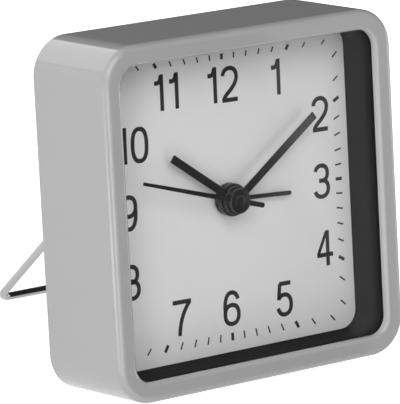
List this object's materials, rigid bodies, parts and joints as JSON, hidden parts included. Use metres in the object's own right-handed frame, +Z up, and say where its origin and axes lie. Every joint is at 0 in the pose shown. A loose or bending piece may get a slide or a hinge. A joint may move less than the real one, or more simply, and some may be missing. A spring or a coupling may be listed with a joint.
{
  "type": "table alarm clock",
  "caption": "Square quartz alarm clock: moulded case, clear front, printed dial, hour, minute, second and alarm hands, rear setting knobs and a folding wire stand.",
  "frame": {"origin": "on the table under the middle of the clock's box, with the stand open", "axes": "+Z up; +Y from the dial to the back; +X to the right of the dial as it is read"},
  "size_m": [0.09, 0.0676, 0.0931],
  "materials": {
    "case_plastic": "satin moulded light grey",
    "clear_lens": "clear polished",
    "black_plastic": "satin black",
    "dial_card": "printed matt white",
    "hand_black": "black satin paint",
    "movement_plastic": "moulded black",
    "wheel_plastic": "natural moulded white",
    "magnet": "sintered magnet with pinion",
    "copper": "enamelled copper wire",
    "iron": "bare soft iron",
    "board": "paper laminate",
    "bright_metal": "plated",
    "resin": "black resin drop",
    "brass_parts": "rolled brass",
    "cell": "plain sleeved cell",
    "steel_wire": "bright nickel plated wire",
    "screws": "zinc plated"
  },
  "bodies": {
    "case": {"case_shell": "case_plastic", "lens": "clear_lens", "dial_surround": "black_plastic", "dial": "dial_card", "movement_plate": "movement_plastic", "movement_housing": "movement_plastic", "coil_bobbin": "wheel_plastic", "coil_winding": "copper", "stator": "iron", "circuit_board": "board", "quartz_crystal": "bright_metal", "control_chip": "resin", "alarm_contact": "brass_parts", "buzzer": "brass_parts", "battery": "cell", "positive_contact": "bright_metal", "negative_contact": "bright_metal", "rear_cover": "black_plastic", "cover_screws": "screws", "movement_screws": "screws"},
    "second": {"second_hand": "hand_black", "seconds_wheel": "wheel_plastic"},
    "rotor": {"rotor": "magnet"},
    "intermediate": {"intermediate_wheel": "wheel_plastic"},
    "third": {"third_wheel": "wheel_plastic"},
    "centre": {"centre_wheel": "wheel_plastic"},
    "minute": {"minute_hand": "hand_black", "minute_pipe": "wheel_plastic"},
    "motion": {"motion_wheel": "wheel_plastic"},
    "hour": {"hour_hand": "hand_black", "hour_wheel": "wheel_plastic"},
    "time_setting": {"time_stem": "wheel_plastic", "time_knob": "black_plastic"},
    "alarm": {"alarm_hand": "hand_black", "alarm_wheel": "wheel_plastic"},
    "alarm_setting": {"alarm_stem": "wheel_plastic", "alarm_knob": "black_plastic"},
    "switch": {"alarm_switch": "black_plastic"},
    "door": {"battery_door": "black_plastic"},
    "stand": {"wire_stand": "steel_wire"}
  },
  "joints": [
    {"name": "second_turn", "type": "hinge", "parent": "case", "child": "second", "pos_m": [0, -0.00359, 0.0479], "axis": [0, 0.9037, -0.4281], "continuous": true},
    {"name": "rotor_turn", "type": "hinge", "parent": "case", "child": "rotor", "pos_m": [-0.01287, -0.00209, 0.05108], "axis": [0, 0.9037, -0.4281], "continuous": true},
    {"name": "intermediate_turn", "type": "hinge", "parent": "case", "child": "intermediate", "pos_m": [-0.00697, -0.00385, 0.04735], "axis": [0, 0.9037, -0.4281], "continuous": true},
    {"name": "third_turn", "type": "hinge", "parent": "case", "child": "third", "pos_m": [0.00677, -0.00385, 0.04736], "axis": [0, 0.9037, -0.4281], "continuous": true},
    {"name": "centre_turn", "type": "hinge", "parent": "case", "child": "centre", "pos_m": [0, -0.00359, 0.0479], "axis": [0, 0.9037, -0.4281], "continuous": true},
    {"name": "minute_turn", "type": "hinge", "parent": "case", "child": "minute", "pos_m": [0, -0.00359, 0.0479], "axis": [0, 0.9037, -0.4281], "continuous": true},
    {"name": "motion_turn", "type": "hinge", "parent": "case", "child": "motion", "pos_m": [0.00424, -0.00178, 0.05173], "axis": [0, 0.9037, -0.4281], "continuous": true},
    {"name": "hour_turn", "type": "hinge", "parent": "case", "child": "hour", "pos_m": [0, -0.00359, 0.0479], "axis": [0, 0.9037, -0.4281], "continuous": true},
    {"name": "time_knob_turn", "type": "hinge", "parent": "case", "child": "time_setting", "pos_m": [0.00848, 0.00004, 0.05557], "axis": [0, 0.9037, -0.4281], "continuous": true},
    {"name": "alarm_turn", "type": "hinge", "parent": "case", "child": "alarm", "pos_m": [0, -0.00359, 0.0479], "axis": [0, 0.9037, -0.4281], "continuous": true},
    {"name": "alarm_knob_turn", "type": "hinge", "parent": "case", "child": "alarm_setting", "pos_m": [-0.0042, -0.00048, 0.05447], "axis": [0, 0.9037, -0.4281], "continuous": true},
    {"name": "alarm_switch_slide", "type": "slide", "parent": "case", "child": "switch", "axis": [1, 0, 0], "range_m": [0, 0.004]},
    {"name": "battery_door_slide", "type": "slide", "parent": "case", "child": "door", "axis": [0, 0.9037, -0.4281], "range_m": [0, 0.012]},
    {"name": "stand_fold", "type": "hinge", "parent": "case", "child": "stand", "pos_m": [0, 0.01288, 0.03888], "axis": [1, 0, 0], "range_deg": [-53.1, 0]}
  ],
  "couplings": [
    {"joint": "intermediate_turn", "follows": "second_turn", "ratio": -6},
    {"joint": "rotor_turn", "follows": "second_turn", "ratio": 30},
    {"joint": "third_turn", "follows": "second_turn", "ratio": -0.13333},
    {"joint": "centre_turn", "follows": "second_turn", "ratio": 0.016667},
    {"joint": "motion_turn", "follows": "minute_turn", "ratio": -0.33333},
    {"joint": "hour_turn", "follows": "minute_turn", "ratio": 0.083333},
    {"joint": "time_knob_turn", "follows": "minute_turn", "ratio": 1},
    {"joint": "alarm_knob_turn", "follows": "alarm_turn", "ratio": -1.3333}
  ]
}
